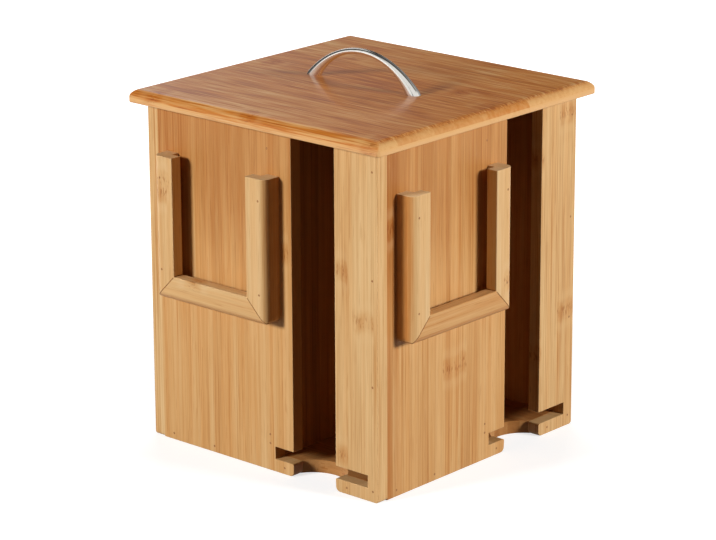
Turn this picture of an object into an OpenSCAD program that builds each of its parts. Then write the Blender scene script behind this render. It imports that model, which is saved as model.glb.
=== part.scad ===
// Bamboo organizer box with four upright compartments.
// Four walls stand round a pinwheel of dividers, and each wall has a tall slot, a low opening
// at its foot and a mitred display frame. A loose lid with a metal bow handle rests on the
// walls.
// The box stands on z = 0, centred on the origin. Wall 0 faces -Y, and walls 1, 2 and 3
// follow it round to +X, +Y and -X. On each wall, u runs from its left corner to its right
// corner as seen from outside, v runs in through the wall, and z runs up.

/* [Box] */
// Width and depth of the box over its four walls
box_w = 180; // [165:1:220]
// Height of the walls, from the table to the underside of the lid
wall_h = 208; // [180:1:250]
// Thickness of the boards
board_t = 8; // [6:0.5:9]
// Hollow left between the ends of the four dividers
core_gap = 4; // [1:0.5:8]

/* [Slots] */
// Width of the tall slot in each wall
slot_w = 33; // [26:0.5:36]
// Width of the narrow board between the slot and the corner
narrow_w = 32.5; // [26:0.5:38]
// Height of the low opening at the foot of each compartment
notch_h = 7.5; // [5:0.5:14]
// Rounding of the short tabs' lower corners, under the low opening
tab_r = 3; // [1:0.5:4]
// Rounding of the same tabs' upper corners
tab_top_r = 1; // [0.5:0.5:3]
// Rounding at the foot of each corner of the box
foot_r = 2; // [1:0.5:6]
// Radius of the finger scoops in the base
scoop_r = 21; // [18:0.5:24]
// How far a finger scoop reaches in past the wall
scoop_reach = 10.5; // [6:0.5:14]

/* [Display frames] */
// Bare wall between the corner joint and the frame
frame_left = 8; // [2:0.5:16]
// Bare wall between the frame and the slot
frame_right = 9; // [2:0.5:16]
// Distance from the top of the wall down to the top of the frame
frame_drop = 27; // [16:1:45]
// Height of the frame
frame_h = 87.5; // [60:0.5:110]
// Width of the moulding, seen from the front
mould_w = 15.3; // [13:0.1:20]
// Depth of the moulding, out from the wall
mould_d = 12.5; // [10:0.5:16]
// Rounding of the moulding's outer shoulder
shoulder_r = 5; // [2:0.5:7]
// Rounding of the moulding's inner edge
inner_r = 0.6; // [0.4:0.1:4]
// Width of the rebate behind the moulding
rebate_w = 6.5; // [3:0.5:8]
// Depth of the rebate, which leaves a pocket behind the moulding
rebate_d = 5; // [3:0.5:6]
// Rounding of the frame's lower corners
frame_corner_r = 4.5; // [1:0.5:6]

/* [Lid] */
// How far the lid reaches out over the walls
lid_overhang = 8.3; // [4:0.1:14]
// Thickness of the lid
lid_t = 8; // [7:0.5:14]
// Rounding of the lid's upper edge
lid_edge_r = 6.5; // [2:0.5:7]
// Rounding of the lid's corners, seen from above
lid_corner_r = 2.5; // [1:0.5:10]
// Width of each cleat under the lid
cleat_w = 12; // [9:0.5:20]
// Thickness of each cleat
cleat_t = 6; // [4:0.5:9]
// Play between a cleat and the walls around it
cleat_play = 1; // [0.3:0.1:2]

/* [Handle] */
// Distance between the middles of the handle's feet
handle_span = 77.5; // [64:0.5:120]
// Height of the handle above the lid
handle_rise = 21.5; // [18:0.5:30]
// Thickness of the handle at its top
grip_t = 3.4; // [2.5:0.1:5]
// Width of the handle at its top
grip_w = 4.5; // [4:0.1:9]
// Thickness of the handle at its feet
foot_t = 8.5; // [5.5:0.1:10]
// Width of the handle at its feet
foot_w = 7; // [5.5:0.1:10]

/* [Fixings] */
// Diameter of a brad
brad_d = 1.4; // [1:0.1:2]
// How far a brad bites into the piece behind
brad_bite = 12; // [8:0.5:13]
// Distance of the highest brads from the top of the wall
brad_inset = 12; // [9:0.5:20]
// Diameter of the handle's two screws
handle_screw_d = 3; // [2.5:0.1:3]
// How far a handle screw turns into the handle
handle_bite = 4; // [3:0.5:4]
// Diameter of the cleats' screws
cleat_screw_d = 3; // [2.5:0.1:3.5]
// How far a cleat screw turns into the lid
cleat_bite = 5; // [3:0.5:5.5]

/* [Hidden] */
SIDES = ["front", "right", "back", "left"];
function per_side(name) = [for (s = SIDES) str(s, name)];

$fn = 48;
// Overlap that makes a cut run clear through a face
eps = 0.01;

// Where the slot, the compartment and the tabs lie along a wall
slot_u1 = box_w - narrow_w;
slot_u0 = slot_u1 - slot_w;
slot_mid = (slot_u0 + slot_u1) / 2;
stack_w = (box_w - 4 * board_t - core_gap) / 2;
stack_d = box_w - 3 * board_t - stack_w;
stack_u1 = box_w - board_t;
stack_u0 = stack_u1 - stack_w;
divider_u = stack_u0 - board_t / 2;

// Lid and what hangs under it
lid_w = box_w + 2 * lid_overhang;
lid_top = wall_h + lid_t;
divider_drop = cleat_t + cleat_play;
cleat_l = box_w - 2 * (board_t + cleat_play);
cleat_x = cleat_l / 2 - cleat_w / 2;
cleat_screw_y = 0.3 * cleat_l;
cleat_head_d = 2 * cleat_screw_d;

// Display frame
frame_u0 = board_t + frame_left;
frame_w = slot_u0 - frame_right - frame_u0;
frame_z = wall_h - frame_drop - frame_h;
mould_leg = mould_w - rebate_w;
frame_brad_p = 0.6 * mould_leg;
frame_brad_rise = 3;
frame_brad_drop = 13;
frame_brad_z = [frame_z + mould_w + frame_brad_rise, frame_z + frame_h - frame_brad_drop];
frame_brad_bite = 0.9 * board_t;

// Handle: an arc in the XZ plane, through both feet and the top of the bow
bow_rise = handle_rise - grip_t / 2;
bow_r = (pow(handle_span / 2, 2) + pow(bow_rise, 2)) / (2 * bow_rise);
bow_drop = bow_r - bow_rise;
bow_end = acos(bow_drop / bow_r);
bow_cut = acos(bow_drop / (bow_r + foot_t / 2)) + 1;
bow_power = 3;
BOW_RINGS = 40;
BOW_SIDES = 20;

// Screws under the lid
handle_screw_x = sqrt(pow(bow_r, 2) - pow(bow_drop + handle_bite / 2, 2));
handle_head_d = 2 * handle_screw_d;
handle_head_h = 0.7 * handle_screw_d;
screw_play = 0.3;
handle_recess_d = 0.6 * handle_head_d;
cleat_recess_d = 0.5 * cleat_head_d;
recess_depth = 1;

// Brads: the joint brads run past the base brads of the next wall, brad_miss above them
brad_l = board_t + brad_bite;
brad_miss = 2.5;
base_brad_z = board_t / 2;
joint_brad_z0 = base_brad_z + brad_miss;
joint_brad_count = 4;
joint_brad_step = (wall_h - brad_inset - joint_brad_z0) / (joint_brad_count - 1);
base_brad_in = 8.5;
base_brad_u = [2 * board_t, stack_u0 / 2, (stack_u0 + slot_u0) / 2, slot_u1 + base_brad_in];
notch_top = board_t + notch_h;
foot_brad_rise = 1.5;
foot_brad_gap = 5.5;
divider_brad_z = [
    notch_top + foot_brad_rise,
    notch_top + foot_brad_rise + foot_brad_gap,
    wall_h / 2,
    wall_h - brad_inset
];

WALL_TONE = [0.80, 0.56, 0.31];
EDGE_TONE = [0.84, 0.62, 0.37];
FRAME_TONE = [0.86, 0.65, 0.40];
LID_TONE = [0.62, 0.38, 0.22];
INNER_TONE = [0.70, 0.47, 0.26];
CHROME_TONE = [0.82, 0.83, 0.85];
BRAD_TONE = [0.42, 0.30, 0.18];

// Places children, drawn in u, v and z, on one wall
module on_wall(i) {
    rotate([0, 0, 90 * i])
        translate([-box_w / 2, -box_w / 2, 0])
            children();
}

// Raises a flat outline drawn in u and z into a board that starts at depth v0
module upright(t, v0 = 0) {
    translate([0, v0 + t, 0])
        rotate([90, 0, 0])
            linear_extrude(t)
                children();
}

// The sliver outside a quarter circle, for a corner at the origin of the +X +Y quadrant
module corner_sliver(r) {
    difference() {
        translate([-eps, -eps])
            square(r + eps);
        translate([r, r])
            circle(r);
    }
}

// Round pin along +v from depth v0, at a place on the wall
module wall_pin(u, z, d, l, v0 = 0) {
    translate([u, v0, z])
        rotate([-90, 0, 0])
            cylinder(d = d, h = l);
}

// Brads through one wall: into the next wall's end, the base and the divider
module wall_brad_set(i) {
    on_wall(i) {
        for (k = [0 : joint_brad_count - 1])
            wall_pin(box_w - board_t / 2, joint_brad_z0 + k * joint_brad_step, brad_d, brad_l);
        for (u = base_brad_u)
            wall_pin(u, base_brad_z, brad_d, brad_l);
        for (z = divider_brad_z)
            wall_pin(divider_u, z, brad_d, brad_l);
    }
}

// Brads through the legs of one frame's two stiles
module frame_brad_set(i) {
    on_wall(i)
        for (u = [frame_u0 + frame_brad_p, frame_u0 + frame_w - frame_brad_p])
            for (z = frame_brad_z)
                wall_pin(u, z, brad_d, mould_d + frame_brad_bite, -mould_d);
}

// Flat shape of the wide board, with its low notch and rounded tab
module wide_outline() {
    difference() {
        translate([board_t, 0])
            square([slot_u0 - board_t, wall_h]);
        translate([stack_u0, board_t])
            square([slot_u0 - stack_u0 + eps, notch_h]);
        translate([slot_u0, 0])
            mirror([1, 0])
                corner_sliver(tab_r);
        translate([slot_u0, board_t])
            rotate(180)
                corner_sliver(tab_top_r);
    }
}

// Flat shape of the narrow board, with its low notch, rounded tab and rounded foot
module narrow_outline() {
    difference() {
        translate([slot_u1, 0])
            square([narrow_w, wall_h]);
        translate([slot_u1 - eps, board_t])
            square([stack_u1 - slot_u1 + eps, notch_h]);
        translate([slot_u1, 0])
            corner_sliver(tab_r);
        translate([slot_u1, board_t])
            mirror([0, 1])
                corner_sliver(tab_top_r);
        translate([box_w, 0])
            mirror([1, 0])
                corner_sliver(foot_r);
    }
}

module wide_board(i) {
    color(WALL_TONE)
        difference() {
            on_wall(i)
                upright(board_t)
                    wide_outline();
            wall_brad_set(i);
            wall_brad_set(i - 1);
            frame_brad_set(i);
        }
}

module narrow_board(i) {
    color(EDGE_TONE)
        difference() {
            on_wall(i)
                upright(board_t)
                    narrow_outline();
            wall_brad_set(i);
        }
}

// Each divider runs in from its wall and ends against the divider of the next wall
module divider(i) {
    color(INNER_TONE)
        difference() {
            on_wall(i)
                translate([stack_u0 - board_t, board_t, board_t])
                    cube([board_t, stack_d, wall_h - divider_drop - board_t]);
            wall_brad_set(i);
        }
}

// Base between the four walls, with a finger scoop behind each slot
module base_panel() {
    color(EDGE_TONE)
        difference() {
            linear_extrude(board_t)
                difference() {
                    square(box_w - 2 * board_t, center = true);
                    for (i = [0 : 3])
                        on_wall(i)
                            translate([slot_mid, board_t + scoop_reach - scoop_r])
                                circle(scoop_r, $fn = 96);
                }
            for (i = [0 : 3])
                wall_brad_set(i);
        }
}

// Cross-section of the frame moulding: x across it from its outer edge, y out from the wall
module mould_profile() {
    difference() {
        square([mould_w, mould_d]);
        translate([0, mould_d])
            mirror([0, 1])
                corner_sliver(shoulder_r);
        translate([mould_w, mould_d])
            rotate(180)
                corner_sliver(inner_r);
        translate([mould_leg, -eps])
            square([rebate_w + eps, rebate_d + eps]);
    }
}

// Cuts away what lies outside the frame's two rounded lower corners
module frame_corner_cuts() {
    upright(mould_d + 2 * eps, -mould_d - eps) {
        corner_sliver(frame_corner_r);
        translate([frame_w, 0])
            mirror([1, 0])
                corner_sliver(frame_corner_r);
    }
}

// Left stile, square at its top and mitred at its foot
module stile_blank() {
    difference() {
        linear_extrude(frame_h)
            mirror([0, 1])
                mould_profile();
        upright(mould_d + 2 * eps, -mould_d - eps)
            polygon([[-eps, -eps], [mould_w + eps, -eps], [mould_w + eps, mould_w + eps]]);
        frame_corner_cuts();
    }
}

// Bottom rail, mitred at both ends
module rail_blank() {
    difference() {
        intersection() {
            rotate([90, 0, 90])
                linear_extrude(frame_w)
                    rotate(90)
                        mould_profile();
            upright(mould_d, -mould_d)
                polygon([[0, 0], [frame_w, 0], [frame_w - mould_w, mould_w], [mould_w, mould_w]]);
        }
        frame_corner_cuts();
    }
}

// One piece of a frame, set on its wall and drilled for its brads
module frame_piece(i) {
    color(FRAME_TONE)
        difference() {
            on_wall(i)
                translate([frame_u0, 0, frame_z])
                    children();
            frame_brad_set(i);
        }
}

module frame_left_stile(i) {
    frame_piece(i)
        stile_blank();
}

module frame_right_stile(i) {
    frame_piece(i)
        translate([frame_w, 0, 0])
            mirror([1, 0, 0])
                stile_blank();
}

module frame_rail(i) {
    frame_piece(i)
        rail_blank();
}

module wall_brads(i) {
    color(BRAD_TONE)
        wall_brad_set(i);
}

module frame_brads(i) {
    color(BRAD_TONE)
        frame_brad_set(i);
}

// Square section of the lid's edge, rounded at both upper corners
module lid_section() {
    difference() {
        translate([-lid_w / 2, 0])
            square([lid_w, lid_t]);
        translate([-lid_w / 2, lid_t])
            mirror([0, 1])
                corner_sliver(lid_edge_r);
        translate([lid_w / 2, lid_t])
            rotate(180)
                corner_sliver(lid_edge_r);
    }
}

// The lid's plan, with its rounded corners
module lid_plan() {
    difference() {
        square(lid_w, center = true);
        for (a = [0 : 90 : 270])
            rotate(a)
                translate([-lid_w / 2, -lid_w / 2])
                    corner_sliver(lid_corner_r);
    }
}

// Bar of the lid's section that runs the lid's full depth along Y
module lid_bar() {
    translate([0, lid_w / 2, 0])
        rotate([90, 0, 0])
            linear_extrude(lid_w)
                lid_section();
}

module lid_panel() {
    color(LID_TONE)
        difference() {
            translate([0, 0, wall_h])
                intersection() {
                    lid_bar();
                    rotate([0, 0, 90])
                        lid_bar();
                    linear_extrude(lid_t)
                        lid_plan();
                }
            for (x = [-1, 1])
                translate([x * handle_screw_x, 0, wall_h - eps]) {
                    cylinder(d = handle_screw_d + 2 * screw_play, h = lid_t + 2 * eps);
                    cylinder(d = handle_head_d + 2 * screw_play, h = handle_head_h + screw_play + eps);
                }
            cleat_screw_shanks();
        }
}

// Cleats across the lid's grain, which drop inside the walls and keep the lid in place
module lid_cleat(side) {
    color(INNER_TONE)
        difference() {
            translate([side * cleat_x - cleat_w / 2, -cleat_l / 2, wall_h - cleat_t])
                cube([cleat_w, cleat_l, cleat_t]);
            cleat_screw_shanks();
        }
}

// Plain bodies of the four countersunk cleat screws, in the lid and the cleats
module cleat_screw_shanks() {
    for (x = [-1, 1])
        for (y = [-1, 1])
            translate([x * cleat_x, y * cleat_screw_y, wall_h - cleat_t]) {
                cylinder(d = cleat_screw_d, h = cleat_t + cleat_bite);
                translate([0, 0, -eps])
                    cylinder(
                        d1 = cleat_head_d + 2 * eps,
                        d2 = cleat_screw_d,
                        h = (cleat_head_d - cleat_screw_d) / 2 + eps
                    );
            }
}

// Cross recess that opens downwards at the origin
module cross_recess(d) {
    for (a = [0, 90])
        rotate(a)
            translate([-d / 2, -d / 8, -eps])
                cube([d, d / 4, recess_depth + eps]);
}

module cleat_screws() {
    color(CHROME_TONE)
        difference() {
            intersection() {
                cleat_screw_shanks();
                translate([-lid_w / 2, -lid_w / 2, wall_h - cleat_t])
                    cube([lid_w, lid_w, cleat_t + lid_t]);
            }
            for (x = [-1, 1])
                for (y = [-1, 1])
                    translate([x * cleat_x, y * cleat_screw_y, wall_h - cleat_t])
                        cross_recess(cleat_recess_d);
        }
}

// Share of the swelling from the top of the bow to its foot, most of it near the foot
function bow_swell(a) = min(1, pow(abs(a) / bow_end, bow_power));

// One ring of points round the bow, at an angle from its top
function bow_ring(a) =
    let (
        t = grip_t + (foot_t - grip_t) * bow_swell(a),
        w = grip_w + (foot_w - grip_w) * bow_swell(a)
    )
    [for (k = [0 : BOW_SIDES - 1])
        let (
            q = 360 * k / BOW_SIDES,
            r = bow_r + t / 2 * cos(q)
        )
        [r * sin(a), w / 2 * sin(q), r * cos(a) - bow_drop]];

// Swept body of the bow, from below the lid's top at one foot to the same at the other
module bow_sweep() {
    n = BOW_SIDES;
    points = [for (j = [0 : BOW_RINGS]) each bow_ring(bow_cut * (2 * j / BOW_RINGS - 1))];
    first_cap = [for (k = [0 : n - 1]) n - 1 - k];
    last_cap = [for (k = [0 : n - 1]) BOW_RINGS * n + k];
    skin = [for (j = [0 : BOW_RINGS - 1])
        for (k = [0 : n - 1])
            let (a = j * n + k, b = j * n + (k + 1) % n)
            each [[a, b, b + n], [a, b + n, a + n]]];
    polyhedron(points, concat([first_cap], skin, [last_cap]));
}

module handle() {
    color(CHROME_TONE)
        translate([0, 0, lid_top])
            difference() {
                bow_sweep();
                translate([-handle_span, -foot_w, -foot_t])
                    cube([2 * handle_span, 2 * foot_w, foot_t]);
                for (x = [-1, 1])
                    translate([x * handle_screw_x, 0, -eps])
                        cylinder(d = handle_screw_d, h = handle_bite + eps);
            }
}

module handle_screws() {
    color(CHROME_TONE)
        for (x = [-1, 1])
            translate([x * handle_screw_x, 0, wall_h + screw_play])
                difference() {
                    union() {
                        cylinder(d = handle_head_d, h = handle_head_h);
                        cylinder(d = handle_screw_d, h = lid_t - screw_play + handle_bite);
                    }
                    cross_recess(handle_recess_d);
                }
}

base_panel();
for (i = [0 : 3]) {
    wide_board(i);
    narrow_board(i);
    divider(i);
    frame_left_stile(i);
    frame_right_stile(i);
    frame_rail(i);
    wall_brads(i);
    frame_brads(i);
}
lid_panel();
lid_cleat(-1);  // lid_cleat_left
lid_cleat(1);  // lid_cleat_right
cleat_screws();
handle();
handle_screws();
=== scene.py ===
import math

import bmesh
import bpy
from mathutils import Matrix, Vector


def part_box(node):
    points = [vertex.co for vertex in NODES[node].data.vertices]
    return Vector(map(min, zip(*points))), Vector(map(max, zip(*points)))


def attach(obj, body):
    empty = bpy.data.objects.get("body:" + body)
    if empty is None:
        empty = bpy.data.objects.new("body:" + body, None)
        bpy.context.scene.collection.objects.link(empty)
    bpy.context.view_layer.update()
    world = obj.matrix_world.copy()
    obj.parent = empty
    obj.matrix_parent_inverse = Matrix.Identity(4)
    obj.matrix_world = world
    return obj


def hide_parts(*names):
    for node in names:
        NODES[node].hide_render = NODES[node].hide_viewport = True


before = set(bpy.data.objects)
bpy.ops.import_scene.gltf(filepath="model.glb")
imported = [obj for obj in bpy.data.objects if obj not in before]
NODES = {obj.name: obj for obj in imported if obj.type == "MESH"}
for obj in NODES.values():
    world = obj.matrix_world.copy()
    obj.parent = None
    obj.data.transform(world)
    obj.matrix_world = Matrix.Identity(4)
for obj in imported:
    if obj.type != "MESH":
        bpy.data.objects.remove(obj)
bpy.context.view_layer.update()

# Looks of a square bamboo organizer box with a loose lid and a chrome bow handle.
# Lengths are in metres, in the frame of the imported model: the box stands on z = 0, centred on
# the origin. Wall 0 faces -Y, and walls 1, 2 and 3 follow it round to +X, +Y and -X.
# On each wall, u runs from its left corner to its right corner as seen from outside, v runs in
# through the wall, and z runs up.

MM = 0.001
SIDES = ("front", "right", "back", "left")
UP = Vector((0, 0, 1))
X_WAY = Vector((1, 0, 0))
Y_WAY = Vector((0, 1, 0))
NO_WAY = Vector((0, 0, 0))


def placed(name, data):
    """A new object in the scene."""
    made = bpy.data.objects.new(name, data)
    bpy.context.scene.collection.objects.link(made)
    return made


# Camera
IMAGE_WIDTH_PX = 716
FOCAL_PX = 3059.8
SENSOR_MM = 36.0
CAMERA_PLACE = Vector((1.16657, -1.31859, 0.64283))
CAMERA_YAW = math.radians(41.61)
CAMERA_PITCH = math.radians(17.1)
CAMERA_ROLL = math.radians(-0.25)
CLIP_START = 0.05
CLIP_END = 60


def make_camera():
    back = Vector((
        math.sin(CAMERA_YAW) * math.cos(CAMERA_PITCH),
        -math.cos(CAMERA_YAW) * math.cos(CAMERA_PITCH),
        math.sin(CAMERA_PITCH),
    ))
    level = Vector((math.cos(CAMERA_YAW), math.sin(CAMERA_YAW), 0))
    upright = back.cross(level)
    right = level * math.cos(CAMERA_ROLL) + upright * math.sin(CAMERA_ROLL)
    up = upright * math.cos(CAMERA_ROLL) - level * math.sin(CAMERA_ROLL)
    data = bpy.data.cameras.new("camera")
    data.sensor_width = SENSOR_MM
    data.lens = FOCAL_PX * SENSOR_MM / IMAGE_WIDTH_PX
    data.clip_start = CLIP_START
    data.clip_end = CLIP_END
    camera = placed("camera", data)
    turned = Matrix((right, up, back)).transposed().to_4x4()
    camera.matrix_world = Matrix.Translation(CAMERA_PLACE) @ turned
    bpy.context.scene.camera = camera


make_camera()


# Node trees
class Tree:
    """A material's or world's node tree, with short calls for the nodes that the looks use."""

    def __init__(self, owner):
        owner.use_nodes = True
        self.tree = owner.node_tree
        self.tree.nodes.clear()

    def add(self, kind, inputs=None, **settings):
        made = self.tree.nodes.new(kind)
        for key, value in settings.items():
            setattr(made, key, value)
        for key, value in (inputs or {}).items():
            self.put(made.inputs[key], value)
        return made

    def put(self, socket, value):
        if isinstance(value, bpy.types.NodeSocket):
            self.tree.links.new(value, socket)
        elif socket.type == "RGBA" and len(value) == 3:
            socket.default_value = (*value, 1)
        else:
            socket.default_value = value

    def math(self, operation, *values, clamp=False):
        made = self.add("ShaderNodeMath", operation=operation, use_clamp=clamp)
        for socket, value in zip(made.inputs, values):
            self.put(socket, value)
        return made.outputs[0]

    def plus(self, first, second, clamp=False):
        return self.math("ADD", first, second, clamp=clamp)

    def minus(self, first, second):
        return self.math("SUBTRACT", first, second)

    def times(self, first, second):
        return self.math("MULTIPLY", first, second)

    def larger(self, first, second):
        return self.math("MAXIMUM", first, second)

    def distance(self, first, second):
        return self.math("ABSOLUTE", self.minus(first, second))

    def swing(self, value, width):
        """Value of 0 to 1 turned into -width / 2 to width / 2."""
        return self.times(self.minus(value, 0.5), width)

    def vector(self, *values):
        return self.add("ShaderNodeCombineXYZ", dict(enumerate(values))).outputs[0]

    def parts(self, vector):
        """The x, y and z of a vector."""
        return self.add("ShaderNodeSeparateXYZ", {0: vector}).outputs

    def attribute(self, name):
        """The three parts of an attribute of the mesh, or zeros where it has none."""
        return self.parts(self.add("ShaderNodeAttribute", attribute_name=name).outputs["Vector"])

    def object_place(self):
        return self.add("ShaderNodeTexCoord").outputs["Object"]

    def noise(self, vector, detail=2.0, rough=0.5, scale=1.0):
        inputs = {"Vector": vector, "Scale": scale, "Detail": detail, "Roughness": rough}
        return self.add("ShaderNodeTexNoise", inputs).outputs["Fac"]

    def cells(self, place, spread):
        """Random colour of each cell along a line, and the distance to the cell's nearer end."""
        inputs = {"W": place, "Scale": 1.0, "Randomness": spread}
        kinds = {"voronoi_dimensions": "1D"}
        colour = self.add("ShaderNodeTexVoronoi", inputs, feature="F1", **kinds)
        edge = self.add("ShaderNodeTexVoronoi", inputs, feature="DISTANCE_TO_EDGE", **kinds)
        split = self.add("ShaderNodeSeparateColor", {"Color": colour.outputs["Color"]})
        return split.outputs, edge.outputs["Distance"]

    def span(self, value, low, high, out_low=0.0, out_high=1.0):
        """Value mapped smoothly from low..high to out_low..out_high, and held past both ends."""
        inputs = {"Value": value, 1: low, 2: high, 3: out_low, 4: out_high}
        kind = "ShaderNodeMapRange"
        return self.add(kind, inputs, interpolation_type="SMOOTHSTEP").outputs[0]

    def fade(self, value, low, high):
        """1 up to low, falling smoothly to 0 at high."""
        return self.span(value, low, high, 1.0, 0.0)

    def mix(self, share, first, second, blend="MIX"):
        made = self.add("ShaderNodeMix", data_type="RGBA", blend_type=blend)
        self.put(made.inputs[0], share)
        self.put(made.inputs[6], first)
        self.put(made.inputs[7], second)
        return made.outputs[2]

    def tint(self, share, colour, tint):
        """Colour multiplied by a tint, as far as share says."""
        return self.mix(share, colour, tint, "MULTIPLY")

    def ramp(self, value, *stops):
        made = self.add("ShaderNodeValToRGB", {"Fac": value})
        band = made.color_ramp
        while len(band.elements) < len(stops):
            band.elements.new(0.5)
        for stop, (place, colour) in zip(band.elements, stops):
            stop.position = place
            stop.color = (*colour, 1)
        return made.outputs[0]

    def bump(self, height, strength, depth):
        inputs = {"Height": height, "Strength": strength, "Distance": depth}
        return self.add("ShaderNodeBump", inputs).outputs[0]

    def surface(self, shader, kind="ShaderNodeOutputMaterial"):
        self.add(kind, {"Surface": shader})

    def principled(self, inputs):
        self.surface(self.add("ShaderNodeBsdfPrincipled", inputs).outputs[0])


def linear(red, green, blue):
    """Linear colour of an sRGB colour given in 0 to 255."""
    def one(value):
        share = value / 255
        return share / 12.92 if share <= 0.04045 else ((share + 0.055) / 1.055) ** 2.4

    return one(red), one(green), one(blue)


def scaled(colour, factor):
    return tuple(factor * channel for channel in colour)


# Bamboo
MARKS = ("mark_0", "mark_1", "mark_2")

# Noises drawn out along the grain: swings per metre across and along it, detail and roughness
WANDER = (25, 5, 2, 0.5)
BANDS = ((60, 5, 3, 0.5), (330, 8, 2, 0.5), (1000, 14, 2, 0.5))
WARMTH = (210, 4, 2, 0.5)
STREAK_WEAR = (420, 9, 2, 0.5)
FIBRES = (2300, 45, 2, 0.6)
BUNDLES = (1250, 55, 1, 0.5)
LINES = (760, 6, 1, 0.5)
LINE_CROWDS = (45, 7, 1, 0.5)
NODE_WAVES = (150, 3, 2, 0.5)
SMUDGES = (260, 55, 3, 0.55)
SPECKS = (900, 230, 2, 0.6)
CUT_BANDS = (330, 0, 2, 0.5)
CUT_DOTS = (2600, 0, 2, 0.6)

# How far strips and rows of nodes wander
STRIP_WANDER = 1.2 * MM
NODE_WANDER = 8 * MM

# At a node: the distance that hides it, how soft a mark's sides are, and how far the smudge,
# the ticks and the pale halo reach along the grain
HIDDEN = 50 * MM
MARK_BLEND = 1.5 * MM
SMUDGE_REACH = (1 * MM, 11 * MM)
TICK_REACH = (1 * MM, 4.5 * MM)
HALO_START = (5 * MM, 8 * MM)
HALO_END = (9 * MM, 15 * MM)

# Least half width of a dark streak, reach of a glue line, and depth of the relief
LEAST_REACH = 0.1 * MM
GLUE_REACH = 0.14 * MM
GRAIN_RELIEF = 0.06 * MM

# Tints that the wood's colour is multiplied by
WARM_TINT = (1.0, 0.925, 0.84)
STREAK_TINT = (0.74, 0.56, 0.4)
FIBRE_TINT = (0.78, 0.68, 0.58)
DASH_TINT = (0.72, 0.58, 0.44)
LINE_TINT = (0.8, 0.64, 0.47)
SMUDGE_TINT = (0.8, 0.62, 0.44)
TICK_TINT = (0.62, 0.43, 0.28)
GLUE_TINT = (0.66, 0.5, 0.36)
DOT_TINT = (0.7, 0.58, 0.46)
JOINT_TINT = (0.42, 0.28, 0.17)


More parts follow.
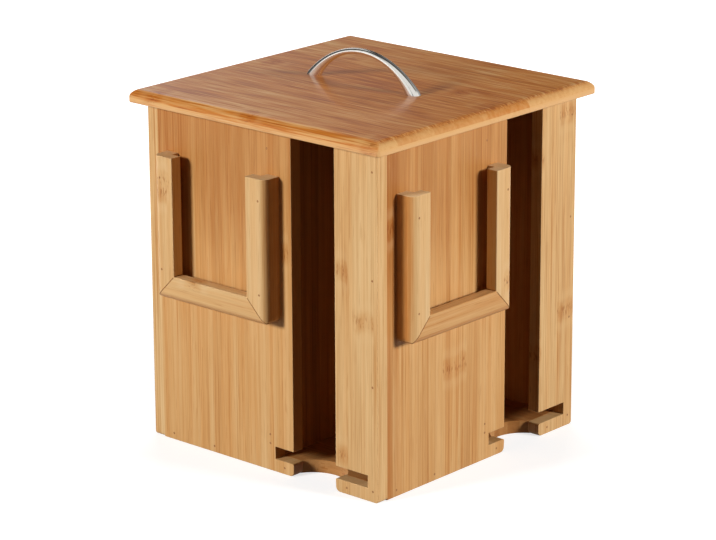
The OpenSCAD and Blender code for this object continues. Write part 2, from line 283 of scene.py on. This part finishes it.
def bamboo(
    name, tones, strip, contrast, bands, node_gap, group, node_share,
    brief=1.0, cut_lift=0.0, gloss=0.05, gloss_rough=0.3, rise_tone_and_shade=(0.0, 1.0, 0.0, 0.0),
):
    """Laminated bamboo, which reads the attributes of the wooden pieces.

    tones: a dark, a middle and a light sRGB colour, in 0 to 255
    strip: a strip's usual width
    contrast: how far the strips' tones differ
    bands: strength of the broad, the middling and the fine streaks
    node_gap: how far apart the stem's nodes come along the grain
    group: width of the groups of strips that share a row of nodes
    node_share: share of the groups that show their nodes
    brief: how many times shorter than usual the streaks of bands are
    cut_lift: tone added at cut ends
    gloss and gloss_rough: weight and roughness of the varnish
    rise_tone_and_shade: a low and a high z, and the tone added below and above them. On the
    walls this tone is painted shade towards the top, under the lid
    """
    material = bpy.data.materials.new(name)
    tree = Tree(material)
    dark, middle, light = (linear(*colour) for colour in tones)
    across, through, along = tree.attribute("grain")
    # The look's third part is each piece's own tone with painted shade on its sides turned away
    # from the lamps
    end, eased, own_tone_and_shade = tree.attribute("look")

    def streaks(place, kind, shorter=1.0):
        """Noise drawn out along the grain."""
        per_metre, along_per_metre, detail, rough = kind
        vector = tree.vector(
            tree.times(place, per_metre),
            tree.times(through, per_metre),
            tree.times(along, along_per_metre * shorter),
        )
        return tree.noise(vector, detail, rough)

    # Strips, which wander a little along their length, each with its own tone
    bent = tree.plus(across, tree.swing(streaks(across, WANDER), STRIP_WANDER))
    random, border = tree.cells(tree.times(bent, 1 / strip), 0.75)
    rise = tree.parts(tree.object_place())[2]
    # tone holds each piece's own tone and painted shade: on sides turned away from the lamps,
    # and towards the top of the walls under the lid
    tone = tree.plus(tree.plus(own_tone_and_shade, 0.5), tree.span(rise, *rise_tone_and_shade))
    shade = tree.plus(tone, tree.swing(random[0], contrast))
    for place, kind, strength in zip((across, bent, bent), BANDS, bands):
        shade = tree.plus(shade, tree.swing(streaks(place, kind, brief), strength))
    shade = tree.plus(shade, 0.0, clamp=True)
    colour = tree.ramp(shade, (0.0, dark), (0.5, middle), (1.0, light))

    # Some streaks are more orange than others
    warmth = tree.span(streaks(bent, WARMTH), 0.4, 0.62)
    colour = tree.tint(tree.times(warmth, 0.75), colour, WARM_TINT)

    # A broad dark streak, on the pieces that have one
    streak_across, streak_half, depth = tree.attribute("streak")
    reach = tree.larger(streak_half, LEAST_REACH)
    share_out = tree.math("DIVIDE", tree.distance(bent, streak_across), reach)
    wear = tree.span(streaks(bent, STREAK_WEAR), 0.3, 0.7, 0.45, 1.0)
    streaked = tree.times(tree.times(tree.fade(share_out, 0.4, 1.0), wear), depth)
    colour = tree.tint(streaked, colour, STREAK_TINT)

    # Fibres: fine lines all over, bundles that show as sparse dark dashes, and long dark lines
    # that crowd in places
    fine = streaks(bent, FIBRES)
    colour = tree.tint(tree.span(fine, 0.42, 0.75, 0.0, 0.35), colour, FIBRE_TINT)
    colour = tree.mix(tree.span(fine, 0.2, 0.4, 0.3, 0.0), colour, light)
    dashes = tree.span(streaks(bent, BUNDLES), 0.62, 0.72)
    colour = tree.tint(tree.times(dashes, 0.4), colour, DASH_TINT)
    lines = tree.span(streaks(bent, LINES), 0.57, 0.68)
    crowd = tree.span(streaks(across, LINE_CROWDS), 0.38, 0.62, 0.2, 0.85)
    colour = tree.tint(tree.times(lines, crowd), colour, LINE_TINT)

    # Distance from the stem's nodes, along the grain: rows at random, and the marks of the piece
    waved = tree.plus(along, tree.swing(streaks(across, NODE_WAVES), NODE_WANDER))
    group_random, _ = tree.cells(tree.times(bent, 1 / group), 0.6)
    ring = tree.plus(tree.times(waved, 1 / node_gap), tree.times(group_random[1], 7.0))
    off = tree.times(tree.distance(tree.math("FRACT", ring), 0.5), node_gap)
    hiding = tree.span(group_random[2], 1 - node_share, 1.04 - node_share, HIDDEN, 0.0)
    off = tree.plus(off, hiding)
    for mark in MARKS:
        mark_across, mark_along, mark_half = tree.attribute(mark)
        outside = tree.minus(tree.distance(across, mark_across), mark_half)
        beside = tree.span(outside, -MARK_BLEND, MARK_BLEND, 0.0, HIDDEN)
        mark_off = tree.plus(tree.distance(waved, mark_along), beside)
        off = tree.math("MINIMUM", off, mark_off)

    # Each node: a brown smudge drawn out along the grain, with a soft row of short ticks
    patch = tree.span(streaks(across, SMUDGES), 0.36, 0.64)
    smudge = tree.times(patch, tree.fade(off, *SMUDGE_REACH))
    colour = tree.tint(tree.times(smudge, 0.75), colour, SMUDGE_TINT)
    halo = tree.times(tree.span(off, *HALO_START), tree.fade(off, *HALO_END))
    colour = tree.mix(tree.times(halo, 0.2), colour, light)
    speck = tree.span(streaks(across, SPECKS), 0.5, 0.64)
    ticks = tree.times(speck, tree.fade(off, *TICK_REACH))
    colour = tree.tint(tree.times(ticks, 0.75), colour, TICK_TINT)

    # Glue lines between strips
    glue = tree.span(border, 0.0, GLUE_REACH / strip, 0.3, 0.0)
    colour = tree.tint(glue, colour, GLUE_TINT)

    # Cut ends: dots of cut fibre on each strip's own tone
    cut_shade = tree.plus(tone, tree.swing(random[0], contrast + 0.15))
    cut_shade = tree.plus(cut_shade, tree.swing(streaks(across, CUT_BANDS), 0.5))
    cut_shade = tree.plus(cut_shade, cut_lift, clamp=True)
    cut_dark = scaled(dark, 0.95)
    cut_middle = scaled(middle, 0.97)
    cut = tree.ramp(cut_shade, (0.0, cut_dark), (0.5, cut_middle), (1.0, light))
    dots = tree.span(streaks(across, CUT_DOTS), 0.5, 0.66, 0.0, 0.22)
    cut = tree.tint(dots, cut, DOT_TINT)
    cut_share = tree.span(end, 0.35, 0.8)
    colour = tree.mix(cut_share, colour, cut)

    # Eased edges get a slight painted highlight, and glued joints are dark
    edge_highlight = tree.math("MULTIPLY", eased, 0.2, clamp=True)
    colour = tree.mix(edge_highlight, colour, light)
    joint = tree.math("MULTIPLY", eased, -0.9, clamp=True)
    colour = tree.tint(joint, colour, JOINT_TINT)

    # Relief and roughness
    height = tree.times(fine, -0.5)
    for layer, lift in ((dashes, -0.5), (ticks, -0.8), (glue, -2.0)):
        height = tree.plus(height, tree.times(layer, lift))
    smears = tree.noise(tree.vector(across, through, along), 3, 0.5, 60.0)
    roughness = tree.plus(tree.times(fine, 0.12), tree.plus(tree.times(smears, 0.12), 0.38))
    roughness = tree.plus(roughness, tree.times(cut_share, 0.14))
    tree.principled({
        "Base Color": colour,
        "Roughness": roughness,
        "IOR": 1.45,
        "Specular IOR Level": 0.3,
        "Normal": tree.bump(height, 0.35, GRAIN_RELIEF),
        "Coat Weight": gloss,
        "Coat Roughness": gloss_rough,
        "Coat IOR": 1.5,
    })
    return material


# The walls darken towards their top: painted shade under the lid
WALL = bamboo(
    "wall_bamboo", ((180, 125, 70), (204, 156, 99), (219, 181, 129)),
    strip=4.6 * MM, contrast=0.36, bands=(0.9, 0.65, 0.62), node_gap=0.21, group=0.023,
    node_share=0.04, rise_tone_and_shade=(100 * MM, 180 * MM, 0.03, -0.48),
)
NARROW = bamboo(
    "narrow_bamboo", ((188, 138, 84), (208, 167, 114), (219, 183, 132)),
    strip=18 * MM, contrast=0.28, bands=(0.9, 0.95, 2.0), node_gap=0.122, group=0.0165,
    node_share=0.3,
)
MOULDING = bamboo(
    "moulding_bamboo", ((190, 132, 72), (214, 176, 124), (224, 194, 150)),
    strip=11 * MM, contrast=0.2, bands=(0.4, 0.3, 0.5), node_gap=0.13, group=0.012,
    node_share=0.15, cut_lift=0.2,
)
VARNISH = 0.75
NO_VARNISH = 0.05


def lid_bamboo(name, gloss):
    """Bamboo of the lid, which is lighter at the foot of its edge than above."""
    return bamboo(
        name, ((160, 86, 32), (197, 123, 48), (216, 166, 104)),
        strip=17 * MM, contrast=0.3, bands=(0.85, 1.15, 2.2), node_gap=0.17, group=0.017,
        node_share=0.2, brief=2.2, cut_lift=0.3, gloss=gloss, gloss_rough=0.18,
        rise_tone_and_shade=(211.05 * MM, 211.35 * MM, 0.38, 0.0),
    )


LID = lid_bamboo("lid_bamboo", VARNISH)
LID_UNDER = lid_bamboo("lid_under_bamboo", NO_VARNISH)
# Bamboo of the pieces inside the box and under the lid. Its darker tones are partly the wood's
# own and partly painted shade inside the box
SHADED_INNER = bamboo(
    "inner_bamboo", ((130, 80, 38), (164, 110, 60), (188, 138, 84)),
    strip=6 * MM, contrast=0.35, bands=(0.8, 0.75, 0.6), node_gap=0.2, group=0.02,
    node_share=0.3,
)

# Metals
METAL_RELIEF = 0.02 * MM
BRIGHT_CHROME = (0.84, 0.82, 0.77)
WORN_CHROME = (0.74, 0.71, 0.66)


def polished_chrome():
    material = bpy.data.materials.new("chrome")
    tree = Tree(material)
    place = tree.object_place()
    smear = tree.noise(place, 3, 0.6, 300.0)
    ripple = tree.noise(place, 2, 0.5, 160.0)
    fine = tree.noise(place, 2, 0.5, 5200.0)
    height = tree.plus(tree.times(ripple, 6.0), tree.times(fine, 0.3))
    tree.principled({
        "Base Color": tree.mix(tree.span(smear, 0.45, 0.8), BRIGHT_CHROME, WORN_CHROME),
        "Metallic": 0.94,
        "Roughness": tree.span(smear, 0.35, 0.75, 0.03, 0.09),
        "Normal": tree.bump(height, 0.06, METAL_RELIEF),
    })
    return material


def small_fixing(name, colour, dull, metallic, rough):
    """Surface of a small fixing, with fine scratches and dull patches."""
    material = bpy.data.materials.new(name)
    tree = Tree(material)
    place = tree.object_place()
    patches = tree.noise(place, 3, 0.6, 1400.0)
    scratches = tree.noise(place, 2, 0.7, 9000.0)
    tree.principled({
        "Base Color": tree.mix(tree.span(patches, 0.4, 0.7), colour, dull),
        "Metallic": metallic,
        "Roughness": tree.span(patches, 0.3, 0.7, rough, rough + 0.15),
        "Normal": tree.bump(scratches, 0.2, METAL_RELIEF),
    })
    return material


CHROME = polished_chrome()
SCREW_STEEL = small_fixing("screw_steel", (0.62, 0.62, 0.60), (0.42, 0.41, 0.38), 0.9, 0.3)
BRAD_STEEL = small_fixing("brad_steel", linear(168, 118, 72), linear(132, 86, 48), 0.2, 0.55)

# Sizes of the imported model: the walls, and a frame's lower left corner and right side
BOX_W = 180 * MM
BOARD_T = 8 * MM
FRAME_LOW_U = 16 * MM
FRAME_LOW_Z = 93.5 * MM
FRAME_HIGH_U = 105.5 * MM

# Limits that tell the parts of a mesh apart. Pin holes have no edge longer than RIM_EDGE.
MERGE = 0.001 * MM
TOUCH = 0.05 * MM
MITRE_REACH = 0.5 * MM
RIM_EDGE = 0.235 * MM
SHARP = math.radians(35)
FLAT = math.radians(1)

# Painted shade: tone added to the outer sides of the frames and to the right ends of the wide
# boards at the slots, where little light reaches
PAINTED_SIDE_SHADE = -0.6

# Where the first piece is cut from the bamboo, and how much further on each next one is
FIRST_CUT = (3, 2, 5)
NEXT_CUT = (0.377, 0.219, 0.613)

# Nodes of the stem that stand out: their places across and along the grain, and their half
# widths, all in mm
NODE_MARKS = {
    "front_narrow_board": ((63, 134, 5.5), (62.5, 23, 5.5), (79, 107.5, 9)),
    "front_wide_board": ((19, 135, 4),),
    "right_wide_board": ((-22, 66, 12), (-79, 160, 4)),
    "front_frame_left_stile": ((-68, 166, 8),),
    "right_frame_right_stile": ((11, 113, 5),),
    "lid_panel": ((20, 56, 8), (48, -49, 7), (-92, -3, 7)),
}

# Broad dark streaks: their place across the grain and half width in mm, and their depth
DARK_STREAKS = {"right_wide_board": (-78, 8, 0.9)}


def wall_axes(wall):
    """Directions of u and v on a wall."""
    turn = math.radians(90 * wall)
    return (
        Vector((math.cos(turn), math.sin(turn), 0)),
        Vector((-math.sin(turn), math.cos(turn), 0)),
    )


def local(point, wall):
    """u, v and z of a point on a wall."""
    u_way, v_way = wall_axes(wall)
    return point.dot(u_way) + BOX_W / 2, point.dot(v_way) + BOX_W / 2, point.z


def near(value, target):
    return abs(value - target) < TOUCH


def nowhere(point):
    return False


def at_left_end(point, wall):
    """Whether a point lies at the left end of a wide board, which is a flush joint."""
    return near(local(point, wall)[0], BOARD_T)


def in_corner(point, wall):
    """Whether a point lies between a narrow board's right end and its back, a flush joint."""
    u, v, _ = local(point, wall)
    return near(u, BOX_W) and near(v, BOARD_T)


def in_mitre(point, wall):
    """Whether a point lies in one of the two mitres of a wall's frame."""
    u, _, z = local(point, wall)
    inward = min(u - FRAME_LOW_U, FRAME_HIGH_U - u)
    return abs(inward - (z - FRAME_LOW_Z)) < MITRE_REACH


def is_sharp(edge):
    """Whether an edge has a clear angle and isn't one of the short ones round pin holes."""
    two_faced = len(edge.link_faces) == 2
    return two_faced and edge.calc_face_angle() > SHARP and edge.calc_length() > RIM_EDGE


def clean_copy(node):
    """A node's own mesh, with its doubled points merged and its flat faces joined."""
    mesh = bmesh.new()
    mesh.from_mesh(NODES[node].data)
    bmesh.ops.remove_doubles(mesh, verts=mesh.verts, dist=MERGE)
    bmesh.ops.dissolve_limit(mesh, angle_limit=FLAT, verts=mesh.verts, edges=mesh.edges)
    return mesh


def ease(mesh, edges, width):
    """Rounds edges and returns the faces that the rounding made."""
    made = bmesh.ops.bevel(
        mesh, geom=edges, offset=width, offset_type="OFFSET", segments=3, profile=0.5,
        affect="EDGES", clamp_overlap=False, material=-1,
    )
    return set(made["faces"])


def eased_board(node, width, seam=nowhere):
    """A clean copy of a board and the faces of its eased edges. seam says which points lie in a
    flush joint, whose edges stay crisp."""
    mesh = clean_copy(node)
    sharp = [edge for edge in mesh.edges if is_sharp(edge)]
    free = [edge for edge in sharp if not all(seam(vertex.co) for vertex in edge.verts)]
    return mesh, ease(mesh, free, width)


def dressed(mesh, node, body, material):
    """Turns a mesh into a piece that stands for a node."""
    data = bpy.data.meshes.new(node + "_looks")
    mesh.to_mesh(data)
    mesh.free()
    data.materials.append(material)
    piece = placed(node + "_looks", data)
    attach(piece, body)
    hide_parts(node)
    return piece


def add_face_layer(mesh, name, values):
    """Gives every face of a mesh the same three values."""
    layer = mesh.faces.layers.float_vector.new(name)
    for face in mesh.faces:
        face[layer] = Vector(values)


def wooden(
    mesh, node, body, material, axes, tone=0.0, eased=(), shaded_way=NO_WAY, joint=nowhere,
):
    """Makes a wooden piece. axes are the directions across, through and along its grain, and
    each piece reads its own stretch of the bamboo, with its marks where the object has them.
    Faces turned towards shaded_way get painted shade. joint says which points lie in a glued
    joint."""
    across, through, along = axes
    index = sorted(NODES).index(node)
    shift = Vector([step * index + first for step, first in zip(NEXT_CUT, FIRST_CUT)])
    mesh.normal_update()
    mesh.faces.index_update()
    eased_places = {face.index for face in eased}
    grain = mesh.verts.layers.float_vector.new("grain")
    look = mesh.faces.layers.float_vector.new("look")
    for vertex in mesh.verts:
        place = vertex.co
        vertex[grain] = Vector((place.dot(across), place.dot(through), place.dot(along))) + shift
    for face in mesh.faces:
        edge_kind = -1.0 if joint(face.calc_center_median()) else 1.0
        # Painted shade on the faces turned one way: the frames' outer sides and the wide boards'
        # slot ends
        side_shade = PAINTED_SIDE_SHADE * max(0, face.normal.dot(shaded_way)) ** 2
        is_eased = face.index in eased_places
        face[look] = Vector((abs(face.normal.dot(along)), edge_kind * is_eased, tone + side_shade))
        face.smooth = True
    for name, (mark_across, mark_along, half) in zip(MARKS, NODE_MARKS.get(node, ())):
        values = (mark_across * MM + shift.x, mark_along * MM + shift.z, half * MM)
        add_face_layer(mesh, name, values)
    if node in DARK_STREAKS:
        streak_across, half, depth = DARK_STREAKS[node]
        add_face_layer(mesh, "streak", (streak_across * MM + shift.x, half * MM, depth))
    for edge in mesh.edges:
        edge.smooth = len(edge.link_faces) == 2 and edge.calc_face_angle() < SHARP
    piece = dressed(mesh, node, body, material)
    weighted = piece.modifiers.new("normals", "WEIGHTED_NORMAL")
    weighted.keep_sharp = True
    return piece


# Box
EASE = 0.4 * MM
MITRE_EASE = 0.3 * MM
BASE_EASE = 0.3 * MM
WIDE_TONES = (0.02, 0.02, 0.03, -0.04)
NARROW_TONES = (0.05, 0.0, -0.03, 0.04)
RAIL_TONES = (0.05, -0.25, -0.1, 0.0)
LEFT_STILE_TONE = 0.05
RIGHT_STILE_TONE = 0.1
BASE_TONE = 0.1


def make_wall(wall, side):
    u_way, v_way = wall_axes(wall)
    upright_grain = (u_way, v_way, UP)

    node = side + "_wide_board"
    mesh, faces = eased_board(node, EASE, lambda point: at_left_end(point, wall))
    tone = WIDE_TONES[wall]
    # The wide board's right end, at the slot, gets painted shade
    wooden(mesh, node, "box", WALL, upright_grain, tone, faces, u_way)

    node = side + "_narrow_board"
    mesh, faces = eased_board(node, EASE, lambda point: in_corner(point, wall))
    wooden(mesh, node, "box", NARROW, upright_grain, NARROW_TONES[wall], faces)

    node = side + "_divider"
    mesh, faces = eased_board(node, EASE)
    wooden(mesh, node, "box", SHADED_INNER, (v_way, u_way, UP), 0.0, faces)

    # The frames' outer sides get painted shade
    for part, axes, tone, outward in (
        ("_frame_left_stile", upright_grain, LEFT_STILE_TONE, -u_way),
        ("_frame_right_stile", upright_grain, RIGHT_STILE_TONE, u_way),
        ("_frame_rail", (UP, v_way, u_way), RAIL_TONES[wall], -UP),
    ):
        mesh, faces = eased_board(side + part, MITRE_EASE)
        wooden(
            mesh, side + part, "box", MOULDING, axes, tone, faces, outward,
            lambda point: in_mitre(point, wall),
        )


def make_base():
    mesh, faces = eased_board("base_panel", BASE_EASE)
    axes = (Y_WAY, UP, X_WAY)
    wooden(mesh, "base_panel", "box", SHADED_INNER, axes, BASE_TONE, faces)


for wall, side in enumerate(SIDES):
    make_wall(wall, side)
make_base()

# Lid
LID_EASE = 0.6 * MM
DOWNWARD = -0.5


def make_lid():
    """The lid board, whose underside has no varnish, and its cleats."""
    mesh, faces = eased_board("lid_panel", LID_EASE)
    lid = wooden(mesh, "lid_panel", "lid", LID, (Y_WAY, UP, X_WAY), 0.0, faces)
    lid.data.materials.append(LID_UNDER)
    for face in lid.data.polygons:
        if face.normal.z < DOWNWARD:
            face.material_index = 1
    for node in ("lid_cleat_left", "lid_cleat_right"):
        mesh, faces = eased_board(node, EASE)
        wooden(mesh, node, "lid", SHADED_INNER, (X_WAY, UP, Y_WAY), 0.0, faces)


make_lid()

# Handle: a bow of oval section on an arc, swelling towards two feet that stand on the lid
HANDLE_SPAN = 77.5 * MM
BOW_RISE = 19.8 * MM
GRIP_T = 3.4 * MM
GRIP_W = 4.5 * MM
FOOT_T = 8.5 * MM
FOOT_W = 7 * MM
SWELL_POWER = 3
OVAL_POWER = 0.8
BOW_RINGS = 144
BOW_SIDES = 56
OVERRUN = math.radians(1)

# The bow's side faces have at most this many corners, and the feet's flat ends have more
SIDE_CORNERS = 5


def fuller(share):
    """Sine or cosine drawn outwards, which makes an oval's sides flatter."""
    return math.copysign(abs(share) ** OVAL_POWER, share)


def make_handle():
    """A bow that runs a little past the lid's top at both ends and is cut off level there."""
    foot_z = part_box("lid_panel")[1][2]
    radius = ((HANDLE_SPAN / 2) ** 2 + BOW_RISE ** 2) / (2 * BOW_RISE)
    drop = radius - BOW_RISE
    foot_angle = math.acos(drop / radius)
    last_angle = math.acos(drop / (radius + FOOT_T / 2)) + OVERRUN
    mesh = bmesh.new()
    rings = []
    for number in range(BOW_RINGS + 1):
        angle = last_angle * (2 * number / BOW_RINGS - 1)
        swell = min(1, (abs(angle) / foot_angle) ** SWELL_POWER)
        thick = GRIP_T + (FOOT_T - GRIP_T) * swell
        wide = GRIP_W + (FOOT_W - GRIP_W) * swell
        ring = []
        for corner in range(BOW_SIDES):
            turn = 2 * math.pi * corner / BOW_SIDES
            reach = radius + thick / 2 * fuller(math.cos(turn))
            y = wide / 2 * fuller(math.sin(turn))
            place = (reach * math.sin(angle), y, foot_z + reach * math.cos(angle) - drop)
            ring.append(mesh.verts.new(place))
        rings.append(ring)
    for ring, after in zip(rings, rings[1:]):
        for corner in range(BOW_SIDES):
            following = (corner + 1) % BOW_SIDES
            mesh.faces.new((ring[corner], ring[following], after[following], after[corner]))
    parts = mesh.verts[:] + mesh.edges[:] + mesh.faces[:]
    cut_made = bmesh.ops.bisect_plane(
        mesh, geom=parts, plane_co=(0, 0, foot_z), plane_no=(0, 0, -1), clear_outer=True
    )
    rims = [part for part in cut_made["geom_cut"] if isinstance(part, bmesh.types.BMEdge)]
    bmesh.ops.contextual_create(mesh, geom=rims)
    bmesh.ops.recalc_face_normals(mesh, faces=mesh.faces)
    for face in mesh.faces:
        face.smooth = len(face.verts) <= SIDE_CORNERS
    for edge in mesh.edges:
        edge.smooth = edge.is_manifold and edge.calc_face_angle() < SHARP
    dressed(mesh, "handle", "lid", CHROME)


make_handle()

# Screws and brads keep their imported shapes
FIXINGS = {"cleat_screws": SCREW_STEEL, "handle_screws": SCREW_STEEL}
for side in SIDES:
    FIXINGS[side + "_wall_brads"] = BRAD_STEEL
    FIXINGS[side + "_frame_brads"] = BRAD_STEEL
for node, material in FIXINGS.items():
    NODES[node].data.materials.clear()
    NODES[node].data.materials.append(material)

# Studio
WHITE = (1, 1, 1)
WARM_PAPER = (0.14, 0.1, 0.07)
SEEN_PAPER = (0.5, 0.5, 0.5)
WARM_FILL = (1.0, 0.66, 0.38)
FILL = 0.022
FLOOR_HALF = 8.0

# The floor's glow: two distances from the origin, and the strengths within and past them
FLOOR_GLOW = (0.16, 0.5, 0.7, 1.0)

# Grey that low reflections see towards each azimuth, in degrees
ROOM = (
    (-180, 0.2), (-152, 0.12), (-145, 0.0), (-141, 0.02), (-136, 0.35), (-130, 0.95),
    (-119, 0.75), (-111, 0.04),
    (-66, 0.03), (-52, 0.2), (-45, 0.92), (-12, 0.92), (-5, 0.3), (90, 0.25), (100, 0.92),
    (140, 0.92), (148, 0.45), (170, 0.35), (177, 0.2),
)

# How the room dims upwards, by the direction's z, and how the panel over the camera brightens
# towards its middle, by the cosine of the angle from it
ROOM_DIMMING = (0.62, 0.85, 1.0, 0.06)
ABOVE_CAMERA = (0.54, -0.454, 0.707)
PANEL_BRIGHTENING = (0.52, 0.8, 0.0, 0.85)

# Lamps: azimuth in degrees, height, distance and size in metres, and power in watts
SOFTBOXES = {
    "left_softbox": (-19, 1.15, 3.0, 0.65, 103),
    "right_softbox": (105, 1.15, 3.0, 0.65, 102),
    "back_softbox": (221, 1.2, 1.7, 0.9, 15),
}
LAMPS_AIM = Vector((0, 0, 0.1))


def seen_share(tree):
    """A share that is 1 for camera, glossy and transmission rays and 0 for the rays that light
    the object, and one that is 1 for camera rays alone."""
    path = tree.add("ShaderNodeLightPath").outputs
    seen = tree.larger(path["Is Camera Ray"], path["Is Glossy Ray"])
    return tree.larger(seen, path["Is Transmission Ray"]), path["Is Camera Ray"]


def make_floor():
    data = bpy.data.meshes.new("floor")
    half = FLOOR_HALF
    corners = [(-half, -half, 0), (half, -half, 0), (half, half, 0), (-half, half, 0)]
    data.from_pydata(corners, [], [(0, 1, 2, 3)])
    floor = placed("floor", data)
    material = bpy.data.materials.new("floor")
    tree = Tree(material)
    length = {0: tree.object_place()}
    distance = tree.add("ShaderNodeVectorMath", length, operation="LENGTH").outputs["Value"]
    seen, _ = seen_share(tree)
    colour = tree.mix(seen, WARM_PAPER, SEEN_PAPER)
    paper = tree.add("ShaderNodeBsdfDiffuse", {"Color": colour}).outputs[0]
    strength = tree.span(distance, *FLOOR_GLOW)
    glow = tree.add("ShaderNodeEmission", {"Color": WHITE, "Strength": strength}).outputs[0]
    lifted = tree.add("ShaderNodeAddShader", {0: paper, 1: glow}).outputs[0]
    mixed = tree.add("ShaderNodeMixShader", {0: seen, 1: paper, 2: lifted}).outputs[0]
    tree.surface(mixed)
    data.materials.append(material)


def make_world():
    """White to the camera, and a low warm fill for the object. Polished and glossy surfaces see
    the room's greys, and a bright panel over the camera."""
    world = bpy.data.worlds.new("studio")
    bpy.context.scene.world = world
    tree = Tree(world)
    way = tree.add("ShaderNodeTexCoord").outputs["Generated"]
    east, north, rise = tree.parts(way)
    azimuth = tree.math("ARCTAN2", east, tree.times(north, -1.0))
    turn = tree.plus(tree.times(azimuth, 0.5 / math.pi), 0.5)
    stops = [((degrees + 180) / 360, (grey, grey, grey)) for degrees, grey in ROOM]
    room = tree.times(tree.ramp(turn, *stops), tree.span(rise, *ROOM_DIMMING))
    both_ways = {0: way, 1: ABOVE_CAMERA}
    above = tree.add("ShaderNodeVectorMath", both_ways, operation="DOT_PRODUCT").outputs["Value"]
    panel = tree.span(above, *PANEL_BRIGHTENING)
    seen, camera_ray = seen_share(tree)
    mirrored = tree.larger(tree.larger(room, panel), camera_ray)
    filled = tree.times(tree.minus(1.0, seen), FILL)
    colour = tree.mix(seen, WARM_FILL, WHITE)
    strength = tree.plus(tree.times(seen, mirrored), filled)
    light = tree.add("ShaderNodeBackground", {"Color": colour, "Strength": strength})
    tree.surface(light.outputs[0], "ShaderNodeOutputWorld")


def softbox(name, azimuth, height, distance, size, power):
    """Square lamp that looks at the box. Azimuth 0 is towards -Y, and 90 towards +X."""
    turn = math.radians(azimuth)
    place = Vector((math.sin(turn) * distance, -math.cos(turn) * distance, height))
    data = bpy.data.lights.new(name, "AREA")
    data.shape = "SQUARE"
    data.size = size
    data.energy = power
    lamp = placed(name, data)
    look = place - LAMPS_AIM
    lamp.location = place
    lamp.rotation_euler = look.to_track_quat("Z", "Y").to_euler()
    lamp.visible_glossy = False


make_floor()
make_world()
for name, settings in SOFTBOXES.items():
    softbox(name, *settings)

bpy.context.scene.view_settings.view_transform = "Standard"
